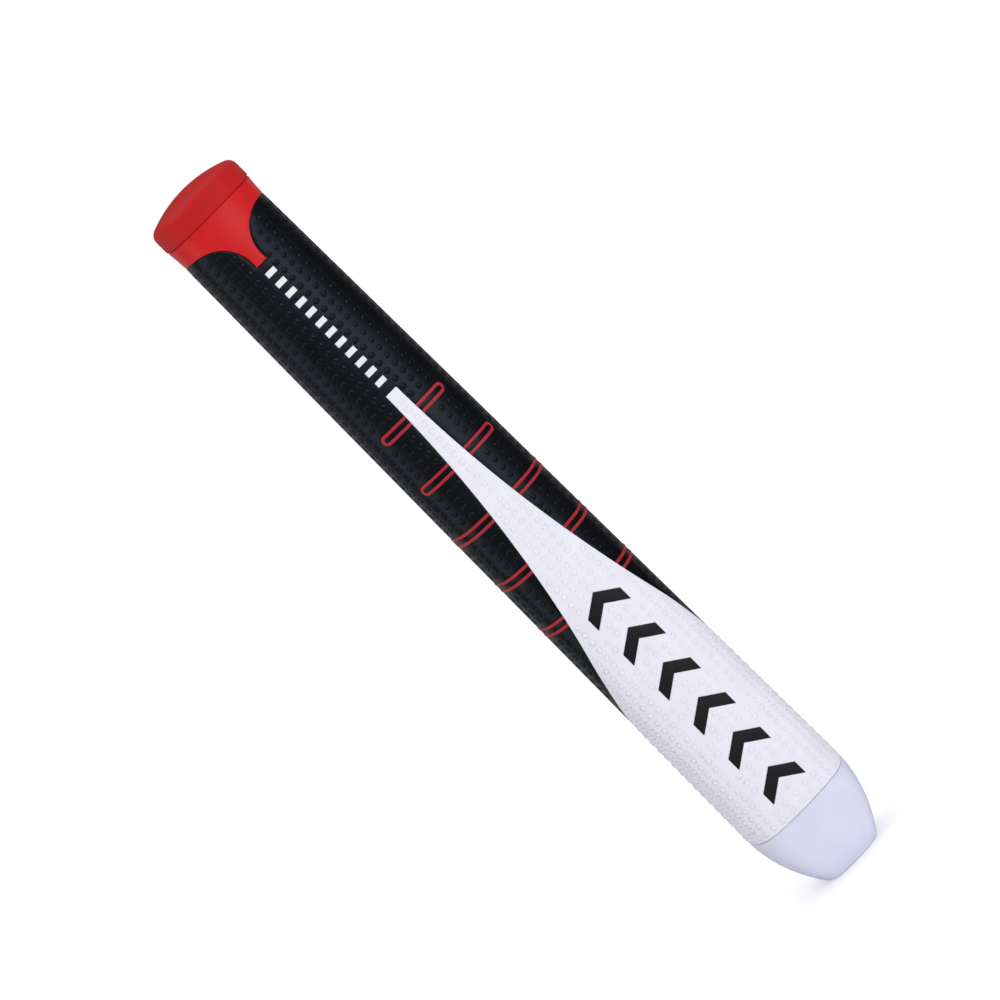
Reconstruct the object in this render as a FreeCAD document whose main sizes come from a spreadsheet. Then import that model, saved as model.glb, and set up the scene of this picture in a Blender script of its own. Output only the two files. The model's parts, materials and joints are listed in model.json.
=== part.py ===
import FreeCAD, Part
import math
import os

import Sketcher

# A wide reverse-taper putter grip. It stands on its mouth: the shaft bore is the Z axis, the
# origin is the centre of the flat end of the mouth, the butt cap is at the top and the front
# of the grip faces -Y. All sizes are in millimetres and live in the Dimensions sheet.

DIMENSIONS = {
    # heights above the end of the mouth
    "mouth_seam": 23.1,
    "cap_seam": 258.0,
    "apex": 267.8,
    # the section of the grip at the mouth seam
    "mouth_half_width": 18.0,
    "mouth_front": 16.9,
    "mouth_back": 17.3,
    "mouth_front_crown": 42.0,
    "mouth_side_crown": 27.0,
    "mouth_back_crown": 23.0,
    "mouth_front_corner": 9.5,
    "mouth_back_corner": 13.0,
    # the same section at the cap seam, nearly round
    "neck_half_width": 14.97,
    "neck_front": 14.4,
    "neck_back": 14.6,
    "neck_front_crown": 25.0,
    "neck_side_crown": 18.5,
    "neck_back_crown": 17.0,
    "neck_front_corner": 10.5,
    "neck_back_corner": 12.5,
    # layers
    "skin_thickness": 1.3,
    "inlay_depth": 0.5,
    "inlay_proud": 0.1,
    # shaft bore, for a shaft of 14.7 mm
    "bore_radius": 7.37,
    "spigot_radius": 11.5,
    "spigot_end": 9.5,
    # nose of the mouth: heights, and sizes as a share of the mouth section
    "nose_high": 15.3,
    "nose_high_share": 0.94,
    "nose_mid": 8.2,
    "nose_mid_share": 0.806,
    "nose_low_share": 0.55,
    "nose_rim": 2.4,
    # butt cap
    "cap_overhang": 0.7,
    "cap_crown": 38.2,
    "cap_corner": 3.0,
    "plug_length": 14.0,
    "plug_radius": 9.0,
    "vent_radius": 1.2,
    # red collar
    "collar_edge": 251.8,
    "collar_sweep": 11.0,
    "tongue_half_width": 1.85,
    "tongue_end": 238.8,
    "flare_middle": 255.0,
    "flare_start_rise": 0.05,
    "flare_middle_rise": 0.2,
    "flare_top_rise": 0.52,
    # white panel
    "panel_tip": 188.5,
    "panel_tip_half_width": 2.0,
    "panel_sweep": 400.0,
    "shoulder": 97.0,
    "shoulder_half_width": 13.5,
    "panel_side": 74.5,
    "panel_side_depth": -1.0,
    "panel_back": 59.0,
    "panel_back_depth": 16.5,
    # alignment loops
    "loop_line": 0.9,
    "loop_half_height": 1.65,
    "loop_top": 179.5,
    "loop_pitch": 17.74,
    # white index marks
    "tick_low": 191.6,
    "tick_high": 236.0,
    "tick_height": 1.7,
    "tick_half_width": 1.65,
    # black index marks
    "chevron_low": 30.0,
    "chevron_high": 109.0,
    "chevron_rise": 4.6,
    "chevron_arm": 4.4,
    "chevron_half_width": 6.4,
}

TICKS = 12
CHEVRONS = 6
REACH = 30.0  # from the axis to well outside the grip
DOME_REACH = 25.0  # from the axis to outside the cap
PAST = 1.0  # how far a cutting shape runs past the face that it opens
NEAR = 0.1  # two places this close are one place

# How far each loop goes round: the first two end on the front face, the rest on the sides.
FRONT_LOOPS = {1: 10.4, 2: 12.6}
SIDE_LOOPS = {3: 1.0, 4: 4.0, 5: 6.5}

doc = FreeCAD.newDocument("putter_grip")
sheet = doc.addObject("Spreadsheet::Sheet", "Dimensions")


def fill_sheet():
    """One row for each dimension: its name, its value and its alias."""
    for row, (name, value) in enumerate(DIMENSIONS.items(), start=1):
        sheet.set("A%d" % row, name)
        sheet.set("B%d" % row, str(value))
        sheet.setAlias("B%d" % row, name)
    doc.recompute()


def size(name):
    return float(getattr(sheet, name))


def cell(name):
    return "Dimensions." + name


def tool_body(label):
    body = doc.addObject("PartDesign::Body", label)
    body.Label = label
    return body


def origin_plane(body, role):
    return next(f for f in body.Origin.OriginFeatures if f.Role == role)


def new_sketch(body, label, role="XY_Plane", height=None):
    """A sketch on one of the body's own planes, lifted by an expression if one is given."""
    sketch = body.newObject("Sketcher::SketchObject", label)
    sketch.AttachmentSupport = [(origin_plane(body, role), "")]
    sketch.MapMode = "FlatFace"
    if height:
        sketch.setExpression("AttachmentOffset.Base.z", height)
    return sketch


def bind(sketch, constraint, expression):
    """Adds a dimension whose value comes from the sheet."""
    index = sketch.addConstraint(constraint)
    sketch.setExpression("Constraints[%d]" % index, expression)


# ---------------------------------------------------------------- sections of the grip


def corner_centre(crown_y, crown, side_x, side, corner, sign):
    """Centre of a corner arc that touches a crown arc and a side arc from inside."""
    a, b = crown - corner, side - corner
    span = math.hypot(side_x, crown_y)
    along = (a * a - b * b + span * span) / (2 * span)
    off = math.sqrt(a * a - along * along)
    ux, uy = side_x / span, -crown_y / span
    options = [(along * ux - k * off * uy, crown_y + along * uy + k * off * ux) for k in (1, -1)]
    return max(options, key=lambda point: point[0] + sign * point[1])


def arc(centre, radius, start, end):
    """An arc of a circle, counter-clockwise between two points near it."""
    circle = Part.Circle(FreeCAD.Vector(*centre, 0), FreeCAD.Vector(0, 0, 1), radius)
    angles = [math.atan2(p[1] - centre[1], p[0] - centre[0]) for p in (start, end)]
    return Part.ArcOfCircle(circle, *angles)


def toward(centre, other, radius):
    """The point at a distance from centre on the line from centre through other."""
    dx, dy = other[0] - centre[0], other[1] - centre[1]
    length = math.hypot(dx, dy)
    return (centre[0] + radius * dx / length, centre[1] + radius * dy / length)


def draw_section(sketch, station, inset="0", share="1"):
    """The closed outline of the grip at a station: eight tangent arcs.

    A flat crown at the front, rounder ones at the sides and back, and a corner arc between
    each two. Every arc keeps its centre as the outline is inset, so the layers are parallel.
    """
    step = float(sheet.evalExpression(inset)) if inset != "0" else 0.0
    scale = float(sheet.evalExpression(share)) if share != "1" else 1.0

    def radius_of(name):
        return size(station + name) * scale - step

    front, side, back = (radius_of(n) for n in ("_front_crown", "_side_crown", "_back_crown"))
    low, high = radius_of("_front_corner"), radius_of("_back_corner")
    front_y = (size(station + "_front_crown") - size(station + "_front")) * scale
    back_y = (size(station + "_back") - size(station + "_back_crown")) * scale
    side_x = (size(station + "_half_width") - size(station + "_side_crown")) * scale

    low_x, low_y = corner_centre(front_y, front, side_x, side, low, -1)
    high_x, high_y = corner_centre(back_y, back, side_x, side, high, 1)
    front_end = toward((0, front_y), (low_x, low_y), front)
    side_low = toward((side_x, 0), (low_x, low_y), side)
    side_high = toward((side_x, 0), (high_x, high_y), side)
    back_end = toward((0, back_y), (high_x, high_y), back)

    def left(point):
        return (-point[0], point[1])

    outline = [
        arc((0, front_y), front, left(front_end), front_end),
        arc((low_x, low_y), low, front_end, side_low),
        arc((side_x, 0), side, side_low, side_high),
        arc((high_x, high_y), high, side_high, back_end),
        arc((0, back_y), back, back_end, left(back_end)),
        arc((-high_x, high_y), high, left(back_end), left(side_high)),
        arc((-side_x, 0), side, left(side_high), left(side_low)),
        arc((-low_x, low_y), low, left(side_low), left(front_end)),
    ]
    sketch.addGeometry(outline, False)
    for i in range(8):
        sketch.addConstraint(Sketcher.Constraint("Tangent", i, 2, (i + 1) % 8, 1))
    for i, axis in ((0, -2), (2, -1), (4, -2), (6, -1)):
        sketch.addConstraint(Sketcher.Constraint("PointOnObject", i, 3, axis))
    for i, twin in ((2, 6), (1, 7), (3, 5)):
        sketch.addConstraint(Sketcher.Constraint("Equal", i, twin))

    def dimension(expression):
        return "(%s) * (%s)" % (expression, share)

    for i, name, radius in (
        (0, "_front_crown", front),
        (1, "_front_corner", low),
        (2, "_side_crown", side),
        (3, "_back_corner", high),
        (4, "_back_crown", back),
    ):
        rule = "%s - (%s)" % (dimension(cell(station + name)), inset)
        bind(sketch, Sketcher.Constraint("Radius", i, radius), rule)

    rise = dimension("%s - %s" % (cell(station + "_front_crown"), cell(station + "_front")))
    drop = dimension("%s - %s" % (cell(station + "_back_crown"), cell(station + "_back")))
    shift = dimension("%s - %s" % (cell(station + "_side_crown"), cell(station + "_half_width")))
    bind(sketch, Sketcher.Constraint("DistanceY", -1, 1, 0, 3, front_y), rise)
    bind(sketch, Sketcher.Constraint("DistanceY", 4, 3, -1, 1, -back_y), drop)
    bind(sketch, Sketcher.Constraint("DistanceX", 2, 3, -1, 1, -side_x), shift)
    bind(sketch, Sketcher.Constraint("DistanceX", -1, 1, 6, 3, -side_x), shift)


def loft(body, label, sketches, ruled):
    feature = body.newObject("PartDesign::AdditiveLoft", label)
    feature.Profile = sketches[0]
    feature.Sections = sketches[1:]
    feature.Ruled = ruled
    return feature


def taper_body(label, inset="0"):
    """The straight taper from the mouth seam to the cap seam, inset by a layer."""
    body = tool_body(label)
    low = new_sketch(body, label + "_mouth_section", height=cell("mouth_seam"))
    draw_section(low, "mouth", inset)
    high = new_sketch(body, label + "_neck_section", height=cell("cap_seam"))
    draw_section(high, "neck", inset)
    loft(body, label + "_taper", [low, high], ruled=True)
    return body


def pad(body, label, sketch, length, both_ways=False, down=False):
    feature = body.newObject("PartDesign::Pad", label)
    feature.Profile = sketch
    feature.setExpression("Length", length)
    feature.Reversed = down
    feature.Midplane = both_ways
    return feature


def pocket(body, label, sketch, length):
    feature = body.newObject("PartDesign::Pocket", label)
    feature.Profile = sketch
    feature.setExpression("Length", length)
    return feature


def draw_circle(sketch, radius_name):
    circle = Part.Circle(FreeCAD.Vector(), FreeCAD.Vector(0, 0, 1), size(radius_name))
    sketch.addGeometry(circle, False)
    sketch.addConstraint(Sketcher.Constraint("Coincident", 0, 3, -1, 1))
    bind(sketch, Sketcher.Constraint("Radius", 0, size(radius_name)), cell(radius_name))


def boolean(kind, label, base, tool):
    feature = doc.addObject("Part::" + kind, label)
    feature.Label = label
    feature.Base = base
    feature.Tool = tool
    return feature


def joined(label, shapes):
    feature = doc.addObject("Part::MultiFuse", label)
    feature.Label = label
    feature.Shapes = shapes
    return feature


# ---------------------------------------------------------------- core, nose and cap


def make_foam_core():
    """Foam tube: the taper inside the skin, a spigot in the nose, the bore and the plug's seat."""
    body = taper_body("foam_core", cell("skin_thickness"))
    spigot = new_sketch(body, "spigot_outline", height=cell("mouth_seam"))
    draw_circle(spigot, "spigot_radius")
    pad(body, "spigot", spigot, "Dimensions.mouth_seam - Dimensions.spigot_end", down=True)
    bore = new_sketch(body, "core_bore_outline", height=cell("cap_seam"))
    draw_circle(bore, "bore_radius")
    pocket(body, "core_bore", bore, cell("cap_seam"))
    seat = new_sketch(body, "plug_seat_outline", height=cell("cap_seam"))
    draw_circle(seat, "plug_radius")
    pocket(body, "plug_seat", seat, cell("plug_length"))
    return body


def make_mouth_ring():
    """Smooth moulded nose: the mouth section drawn in to a rounded rim, over the spigot."""
    body = tool_body("mouth_ring")
    stations = [
        ("nose_base", cell("mouth_seam"), "1"),
        ("nose_upper", cell("nose_high"), cell("nose_high_share")),
        ("nose_middle", cell("nose_mid"), cell("nose_mid_share")),
        ("nose_end", "0", cell("nose_low_share")),
    ]
    sketches = []
    for label, height, share in stations:
        sketch = new_sketch(body, label, height=height)
        draw_section(sketch, "mouth", share=share)
        sketches.append(sketch)
    nose = loft(body, "nose", sketches, ruled=False)
    doc.recompute()
    round_edges(body, "nose_rim_round", nose, cell("nose_rim"), -NEAR, NEAR)
    recess = new_sketch(body, "spigot_recess_outline", height=cell("mouth_seam"))
    draw_circle(recess, "spigot_radius")
    pocket(body, "spigot_recess", recess, "Dimensions.mouth_seam - Dimensions.spigot_end")
    bore = new_sketch(body, "nose_bore_outline", height=cell("mouth_seam"))
    draw_circle(bore, "bore_radius")
    pocket(body, "nose_bore", bore, "Dimensions.mouth_seam + %g" % PAST)
    return body


def round_edges(body, label, base, radius, low, high):
    """Rounds every edge of base that lies between two heights."""
    names = []
    for index, edge in enumerate(base.Shape.Edges, start=1):
        box = edge.BoundBox
        if low < box.ZMin and box.ZMax < high and edge.Length > NEAR:
            names.append("Edge%d" % index)
    feature = body.newObject("PartDesign::Fillet", label)
    feature.Base = (base, names)
    feature.setExpression("Radius", radius)
    return feature


def make_butt_cap():
    """Domed cap with a rounded corner, a plug in the core and a vent hole down its centre."""
    body = tool_body("butt_cap")
    outline = new_sketch(body, "cap_outline", height=cell("cap_seam"))
    draw_section(outline, "neck", "-Dimensions.cap_overhang")
    pad(body, "cap_block", outline, "Dimensions.apex - Dimensions.cap_seam")
    plug = new_sketch(body, "plug_outline", height=cell("cap_seam"))
    draw_circle(plug, "plug_radius")
    pad(body, "plug", plug, cell("plug_length"), down=True)
    vent = new_sketch(body, "vent_outline", height=cell("apex"))
    draw_circle(vent, "vent_radius")
    depth = "Dimensions.apex - Dimensions.cap_seam + Dimensions.plug_length + %g" % PAST
    pocket(body, "vent", vent, depth)

    groove = body.newObject("PartDesign::Groove", "dome_cut")
    groove.Profile = draw_dome(new_sketch(body, "dome_profile", role="XZ_Plane"))
    groove.ReferenceAxis = (groove.Profile[0], ["V_Axis"])
    doc.recompute()
    low, high = size("cap_seam") + NEAR, size("apex") - NEAR
    round_edges(body, "cap_corner_round", groove, cell("cap_corner"), low, high)
    return body


def draw_dome(dome):
    """The region above the crown of the cap, from the axis out to well past its edge."""
    crown, apex, outer = size("cap_crown"), size("apex"), DOME_REACH
    edge = apex - crown + math.sqrt(crown**2 - outer**2)
    top = apex + PAST
    corners = [(0, apex), (0, top), (outer, top), (outer, edge)]
    points = [FreeCAD.Vector(x, y, 0) for x, y in corners]
    for first, second in zip(points, points[1:]):
        dome.addGeometry(Part.LineSegment(first, second), False)
    dome.addGeometry(arc((0, apex - crown), crown, (outer, edge), (0, apex)), False)
    for i in range(3):
        dome.addConstraint(Sketcher.Constraint("Coincident", i, 2, i + 1, 1))
    dome.addConstraint(Sketcher.Constraint("Coincident", 3, 2, 0, 1))
    for kind, line in (("Vertical", 0), ("Horizontal", 1), ("Vertical", 2)):
        dome.addConstraint(Sketcher.Constraint(kind, line))
    dome.addConstraint(Sketcher.Constraint("PointOnObject", 3, 3, -2))
    pin(dome, 0, 1, "0", cell("apex"))
    pin(dome, 1, 2, "%g" % outer, "Dimensions.apex + %g" % PAST)
    bind(dome, Sketcher.Constraint("Radius", 3, crown), cell("cap_crown"))
    return dome


# ---------------------------------------------------------------- outlines cut in the skin


def draw_polygon(sketch, corners, first=0):
    """Closed straight-sided outline; returns the index after its last line."""
    points = [FreeCAD.Vector(x, y, 0) for x, y in corners]
    count = len(points)
    for i in range(count):
        sketch.addGeometry(Part.LineSegment(points[i], points[(i + 1) % count]), False)
    for i in range(count):
        joint = (first + i, 2, first + (i + 1) % count, 1)
        sketch.addConstraint(Sketcher.Constraint("Coincident", *joint))
    return first + count


def pin(sketch, geometry, point, across, up):
    """Binds a point's distances from the origin; None leaves that one free."""
    place = sketch.getPoint(geometry, point)
    for kind, value, expression in (("DistanceX", place.x, across), ("DistanceY", place.y, up)):
        if expression is not None:
            bind(sketch, Sketcher.Constraint(kind, -1, 1, geometry, point, value), expression)


def make_collar_tool():
    """Everything above the collar's edge, and the tongue that runs down the front."""
    body = tool_body("collar_outline_tool")
    ring = new_sketch(body, "ring_outline", role="XZ_Plane")
    edge, top = size("collar_edge"), size("apex")
    draw_polygon(ring, [(-REACH, edge), (REACH, edge), (REACH, top), (-REACH, top)])
    pin(ring, 0, 1, "-%g" % REACH, cell("collar_edge"))
    pin(ring, 0, 2, "%g" % REACH, cell("collar_edge"))
    pin(ring, 1, 2, "%g" % REACH, cell("apex"))
    pin(ring, 2, 2, "-%g" % REACH, cell("apex"))
    pad(body, "ring", ring, "2 * %g" % REACH, both_ways=True)

    tongue = new_sketch(body, "tongue_outline", role="XZ_Plane")
    half, end, sweep = size("tongue_half_width"), size("tongue_end"), size("collar_sweep")
    low, far = edge - sweep, half + sweep
    points = {
        "tip_left": (-half, end),
        "tip_right": (half, end),
        "right": (half, low),
        "shoulder_right": (far, edge),
        "top_right": (far, edge + PAST),
        "top_left": (-far, edge + PAST),
        "shoulder_left": (-far, edge),
        "left": (-half, low),
    }
    place = {name: FreeCAD.Vector(x, y, 0) for name, (x, y) in points.items()}
    for first, second in (
        ("tip_left", "tip_right"),
        ("tip_right", "right"),
        ("shoulder_right", "top_right"),
        ("top_right", "top_left"),
        ("top_left", "shoulder_left"),
        ("left", "tip_left"),
    ):
        tongue.addGeometry(Part.LineSegment(place[first], place[second]), False)
    right = arc((far, low), sweep, points["shoulder_right"], points["right"])
    left = arc((-far, low), sweep, points["left"], points["shoulder_left"])
    tongue.addGeometry([right, left], False)
    joints = [(0, 2, 1, 1), (2, 2, 3, 1), (3, 2, 4, 1), (5, 2, 0, 1)]
    for joint in joints:
        tongue.addConstraint(Sketcher.Constraint("Coincident", *joint))
    tongue.addConstraint(Sketcher.Constraint("Tangent", 1, 2, 6, 2))
    tongue.addConstraint(Sketcher.Constraint("Tangent", 5, 1, 7, 1))
    tongue.addConstraint(Sketcher.Constraint("Coincident", 2, 1, 6, 1))
    tongue.addConstraint(Sketcher.Constraint("Coincident", 4, 2, 7, 2))
    for line in (0, 3):
        tongue.addConstraint(Sketcher.Constraint("Horizontal", line))
    for line in (1, 2, 4, 5):
        tongue.addConstraint(Sketcher.Constraint("Vertical", line))
    width, far_rule = cell("tongue_half_width"), "Dimensions.tongue_half_width + Dimensions.collar_sweep"
    pin(tongue, 0, 1, "-" + width, cell("tongue_end"))
    pin(tongue, 0, 2, width, None)
    pin(tongue, 2, 1, far_rule, cell("collar_edge"))
    pin(tongue, 4, 2, "-(%s)" % far_rule, cell("collar_edge"))
    for index in (6, 7):
        bind(tongue, Sketcher.Constraint("Radius", index, sweep), cell("collar_sweep"))
    pin(tongue, 2, 2, None, "Dimensions.collar_edge + %g" % PAST)
    pad(body, "tongue", tongue, "%g" % REACH)
    return body


def make_panel_tool(surface):
    """The white panel's outline: a flame on the front, then a curve round the sides."""
    body = tool_body("panel_outline_tool")
    flame = new_sketch(body, "flame_outline", role="XZ_Plane")
    tip, half = size("panel_tip"), size("panel_tip_half_width")
    low, wide = size("shoulder"), size("shoulder_half_width")
    sweep = size("panel_sweep")
    spots = {"tip_left": (-half, tip), "tip_right": (half, tip), "right": (wide, low), "left": (-wide, low)}
    place = {name: FreeCAD.Vector(x, y, 0) for name, (x, y) in spots.items()}
    for first, second in (("left", "right"), ("tip_right", "tip_left")):
        flame.addGeometry(Part.LineSegment(place[first], place[second]), False)
    x, y = sweep_centre((half, tip), (wide, low), sweep)
    flame.addGeometry(arc((x, y), sweep, spots["tip_right"], spots["right"]), False)
    flame.addGeometry(arc((-x, y), sweep, spots["left"], spots["tip_left"]), False)
    for joint in ((0, 2, 2, 2), (0, 1, 3, 1), (1, 1, 2, 1), (1, 2, 3, 2)):
        flame.addConstraint(Sketcher.Constraint("Coincident", *joint))
    pin(flame, 0, 1, "-" + cell("shoulder_half_width"), cell("shoulder"))
    pin(flame, 0, 2, cell("shoulder_half_width"), cell("shoulder"))
    pin(flame, 1, 1, cell("panel_tip_half_width"), cell("panel_tip"))
    pin(flame, 1, 2, "-" + cell("panel_tip_half_width"), cell("panel_tip"))
    for index in (2, 3):
        bind(flame, Sketcher.Constraint("Radius", index, sweep), cell("panel_sweep"))
    pad(body, "flame", flame, "%g" % REACH)

    sides = new_sketch(body, "side_outline", role="YZ_Plane")
    start = FreeCAD.Vector(surface_depth(surface, wide, low), low, 0)
    middle = FreeCAD.Vector(size("panel_side_depth"), size("panel_side"), 0)
    end = FreeCAD.Vector(size("panel_back_depth"), size("panel_back"), 0)
    path = [end, (REACH, end.y), (REACH, -PAST), (-REACH, -PAST), (-REACH, low), start]
    points = [FreeCAD.Vector(p[0], p[1], 0) for p in path]
    for first, second in zip(points, points[1:]):
        sides.addGeometry(Part.LineSegment(first, second), False)
    sides.addGeometry(Part.Arc(end, middle, start), False)
    for i in range(4):
        sides.addConstraint(Sketcher.Constraint("Coincident", i, 2, i + 1, 1))
    bend_start, bend_end = nearest_ends(sides, 5, end)
    sides.addConstraint(Sketcher.Constraint("Coincident", 0, 1, 5, bend_start))
    sides.addConstraint(Sketcher.Constraint("Coincident", 4, 2, 5, bend_end))
    sides.addGeometry(Part.Point(middle), True)
    sides.addConstraint(Sketcher.Constraint("PointOnObject", 6, 1, 5))
    pin(sides, 0, 1, cell("panel_back_depth"), cell("panel_back"))
    pin(sides, 0, 2, "%g" % REACH, cell("panel_back"))
    pin(sides, 1, 2, "%g" % REACH, "-%g" % PAST)
    pin(sides, 2, 2, "-%g" % REACH, "-%g" % PAST)
    pin(sides, 3, 2, "-%g" % REACH, cell("shoulder"))
    pin(sides, 4, 2, "%.4f" % start.x, cell("shoulder"))
    pin(sides, 6, 1, cell("panel_side_depth"), cell("panel_side"))
    pad(body, "wrap", sides, "2 * %g" % REACH, both_ways=True)
    return body


def nearest_ends(sketch, geometry, place):
    """The arc's two end numbers, the one at a place first."""
    near = sketch.getPoint(geometry, 1)
    return (1, 2) if (near - place).Length < NEAR else (2, 1)


def surface_depth(surface, across, height):
    """Y of the grip's front surface at a place seen from the front."""
    ray = Part.makeLine(FreeCAD.Vector(across, -REACH, height), FreeCAD.Vector(across, 0, height))
    return surface.Shape.common(ray).BoundBox.YMin


def sweep_centre(start, end, radius):
    """Centre of the arc from start down to end that bulges toward the middle line."""
    mid = ((start[0] + end[0]) / 2, (start[1] + end[1]) / 2)
    dx, dy = end[0] - start[0], end[1] - start[1]
    chord = math.hypot(dx, dy)
    away = math.sqrt(radius**2 - chord**2 / 4)
    return (mid[0] - away * dy / chord, mid[1] + away * dx / chord)


def draw_slot(sketch, low, high, height, half_height, first):
    """A slot with round ends between two places on a level line.

    low, high and height are expressions, and half_height is the radius of the ends.
    """
    x0, x1, z = (float(sheet.evalExpression(e)) for e in (low, high, height))
    r = float(sheet.evalExpression(half_height))
    top_left, top_right = FreeCAD.Vector(x0, z + r, 0), FreeCAD.Vector(x1, z + r, 0)
    low_left, low_right = FreeCAD.Vector(x0, z - r, 0), FreeCAD.Vector(x1, z - r, 0)
    sketch.addGeometry(Part.LineSegment(low_left, low_right), False)
    sketch.addGeometry(arc((x1, z), r, (x1, z - r), (x1, z + r)), False)
    sketch.addGeometry(Part.LineSegment(top_right, top_left), False)
    sketch.addGeometry(arc((x0, z), r, (x0, z + r), (x0, z - r)), False)
    for i in range(4):
        joint = (first + i, 2, first + (i + 1) % 4, 1)
        sketch.addConstraint(Sketcher.Constraint("Tangent", *joint))
    pin(sketch, first + 1, 3, high, height)
    pin(sketch, first + 3, 3, low, height)
    bind(sketch, Sketcher.Constraint("Radius", first + 1, r), half_height)
    return first + 4


def make_loop_tool(number):
    """The line of one alignment loop: the gap between an outer and an inner slot."""
    body = tool_body("loop_%d_tool" % number)
    height = "Dimensions.loop_top - %d * Dimensions.loop_pitch" % (number - 1)
    on_front = number in FRONT_LOOPS
    sketch = new_sketch(body, "loop_%d_outline" % number, role="XZ_Plane" if on_front else "YZ_Plane")
    high = FRONT_LOOPS[number] if on_front else SIDE_LOOPS[number]
    low = -high if on_front else -REACH
    inner = "Dimensions.loop_half_height - Dimensions.loop_line"
    first = draw_slot(sketch, "%g" % low, "%g" % high, height, cell("loop_half_height"), 0)
    draw_slot(sketch, "%g" % low, "%g" % high, height, inner, first)
    length = "%g" % REACH if on_front else "2 * %g" % REACH
    pad(body, "loop_%d_line" % number, sketch, length, both_ways=not on_front)
    return body


def repeat_up(body, feature, label, span, count):
    """Repeats a feature up the grip, its last copy a span above the first."""
    pattern = body.newObject("PartDesign::LinearPattern", label)
    pattern.Originals = [feature]
    pattern.Direction = (feature.Profile[0], ["V_Axis"])
    pattern.setExpression("Length", span)
    pattern.Occurrences = count
    body.Tip = pattern
    return pattern


def make_tick_tool():
    """A row of short level bars up the front, above the panel's tip."""
    body = tool_body("tick_tool")
    sketch = new_sketch(body, "tick_outline", role="XZ_Plane")
    half, low = size("tick_half_width"), size("tick_low")
    high = low + size("tick_height")
    draw_polygon(sketch, [(-half, low), (half, low), (half, high), (-half, high)])
    top = "Dimensions.tick_low + Dimensions.tick_height"
    pin(sketch, 0, 1, "-" + cell("tick_half_width"), cell("tick_low"))
    pin(sketch, 1, 1, cell("tick_half_width"), cell("tick_low"))
    pin(sketch, 2, 1, cell("tick_half_width"), top)
    pin(sketch, 3, 1, "-" + cell("tick_half_width"), top)
    bar = pad(body, "tick", sketch, "%g" % REACH)
    span = "Dimensions.tick_high - Dimensions.tick_low - Dimensions.tick_height"
    repeat_up(body, bar, "tick_row", span, TICKS)
    return body


def make_chevron_tool():
    """A row of chevrons up the panel, each pointing to the butt."""
    body = tool_body("chevron_tool")
    sketch = new_sketch(body, "chevron_outline", role="XZ_Plane")
    half, low = size("chevron_half_width"), size("chevron_low")
    rise, arm = size("chevron_rise"), size("chevron_arm")
    corners = [(-half, low), (0, low + rise), (half, low)]
    corners += [(half, low + arm), (0, low + rise + arm), (-half, low + arm)]
    draw_polygon(sketch, corners)
    across = cell("chevron_half_width")
    foot, arm_rule, rise_rule = cell("chevron_low"), cell("chevron_arm"), cell("chevron_rise")
    rules = [("-" + across, foot), ("0", "%s + %s" % (foot, rise_rule)), (across, foot)]
    rules += [(x, "%s + %s" % (z, arm_rule)) for x, z in reversed(rules)]
    for i, (x_rule, z_rule) in enumerate(rules):
        pin(sketch, i, 1, x_rule, z_rule)
    mark = pad(body, "chevron", sketch, "%g" % REACH)
    span = "Dimensions.chevron_high - %s - %s - %s" % (foot, arm_rule, rise_rule)
    repeat_up(body, mark, "chevron_row", span, CHEVRONS)
    return body


def make_flare():
    """The collar's ring: it leaves the taper at its edge and swells to meet the cap."""
    body = tool_body("collar_flare")
    sketches = []
    for label, height, rise in (
        ("flare_start", cell("collar_edge"), "-Dimensions.flare_start_rise"),
        ("flare_middle_section", cell("flare_middle"), "-Dimensions.flare_middle_rise"),
        ("flare_top", cell("cap_seam"), "-Dimensions.flare_top_rise"),
    ):
        sketch = new_sketch(body, label, height=height)
        draw_section(sketch, "neck", rise)
        sketches.append(sketch)
    loft(body, "flare", sketches, ruled=False)
    return body


# ---------------------------------------------------------------- the grip


def make_grip():
    """Every piece of the grip, by the name of its node."""
    pieces = [make_foam_core(), make_mouth_ring(), make_butt_cap()]
    surface = taper_body("grip_surface")
    inside = taper_body("inside_of_skin", cell("skin_thickness"))
    proud = taper_body("inlay_top", "-Dimensions.inlay_proud")
    floor = taper_body("inlay_floor", cell("inlay_depth"))
    doc.recompute()
    shell = boolean("Cut", "skin_shell", surface, inside)
    inlay = boolean("Cut", "inlay_shell", proud, floor)
    panel_tool, collar_tool = make_panel_tool(surface), make_collar_tool()

    ring = boolean("Common", "collar_shell", surface, collar_tool)
    collar = joined("collar_block", [ring, make_flare()])
    pieces.append(boolean("Cut", "red_collar", collar, inside))

    loops = []
    for number in sorted(FRONT_LOOPS | SIDE_LOOPS):
        line = boolean("Common", "loop_%d_whole" % number, inlay, make_loop_tool(number))
        loops.append(boolean("Cut", "alignment_loop_%d" % number, line, panel_tool))
    ticks = boolean("Common", "white_index_marks", inlay, make_tick_tool())
    chevrons = boolean("Common", "black_index_marks", inlay, make_chevron_tool())
    pieces += loops + [ticks, chevrons]

    dark = boolean("Cut", "dark_shell", shell, joined("bright_tools", [panel_tool, collar_tool]))
    pieces.append(boolean("Cut", "black_skin", dark, joined("dark_inlays", loops + [ticks])))
    light = boolean("Common", "panel_shell", shell, panel_tool)
    pieces.append(boolean("Cut", "white_panel", light, chevrons))
    doc.recompute()
    return pieces


def check(pieces):
    """Stops if any object failed, or any piece has no sound solid."""
    for item in doc.Objects:
        if {"Invalid", "Error"} & set(item.State):
            raise RuntimeError("%s failed: %s" % (item.Label, item.State))
    for piece in pieces:
        shape = piece.Shape
        if shape.isNull() or not shape.isValid() or not shape.Solids or shape.Volume <= 0:
            raise RuntimeError("%s has no sound solid" % piece.Label)


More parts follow.
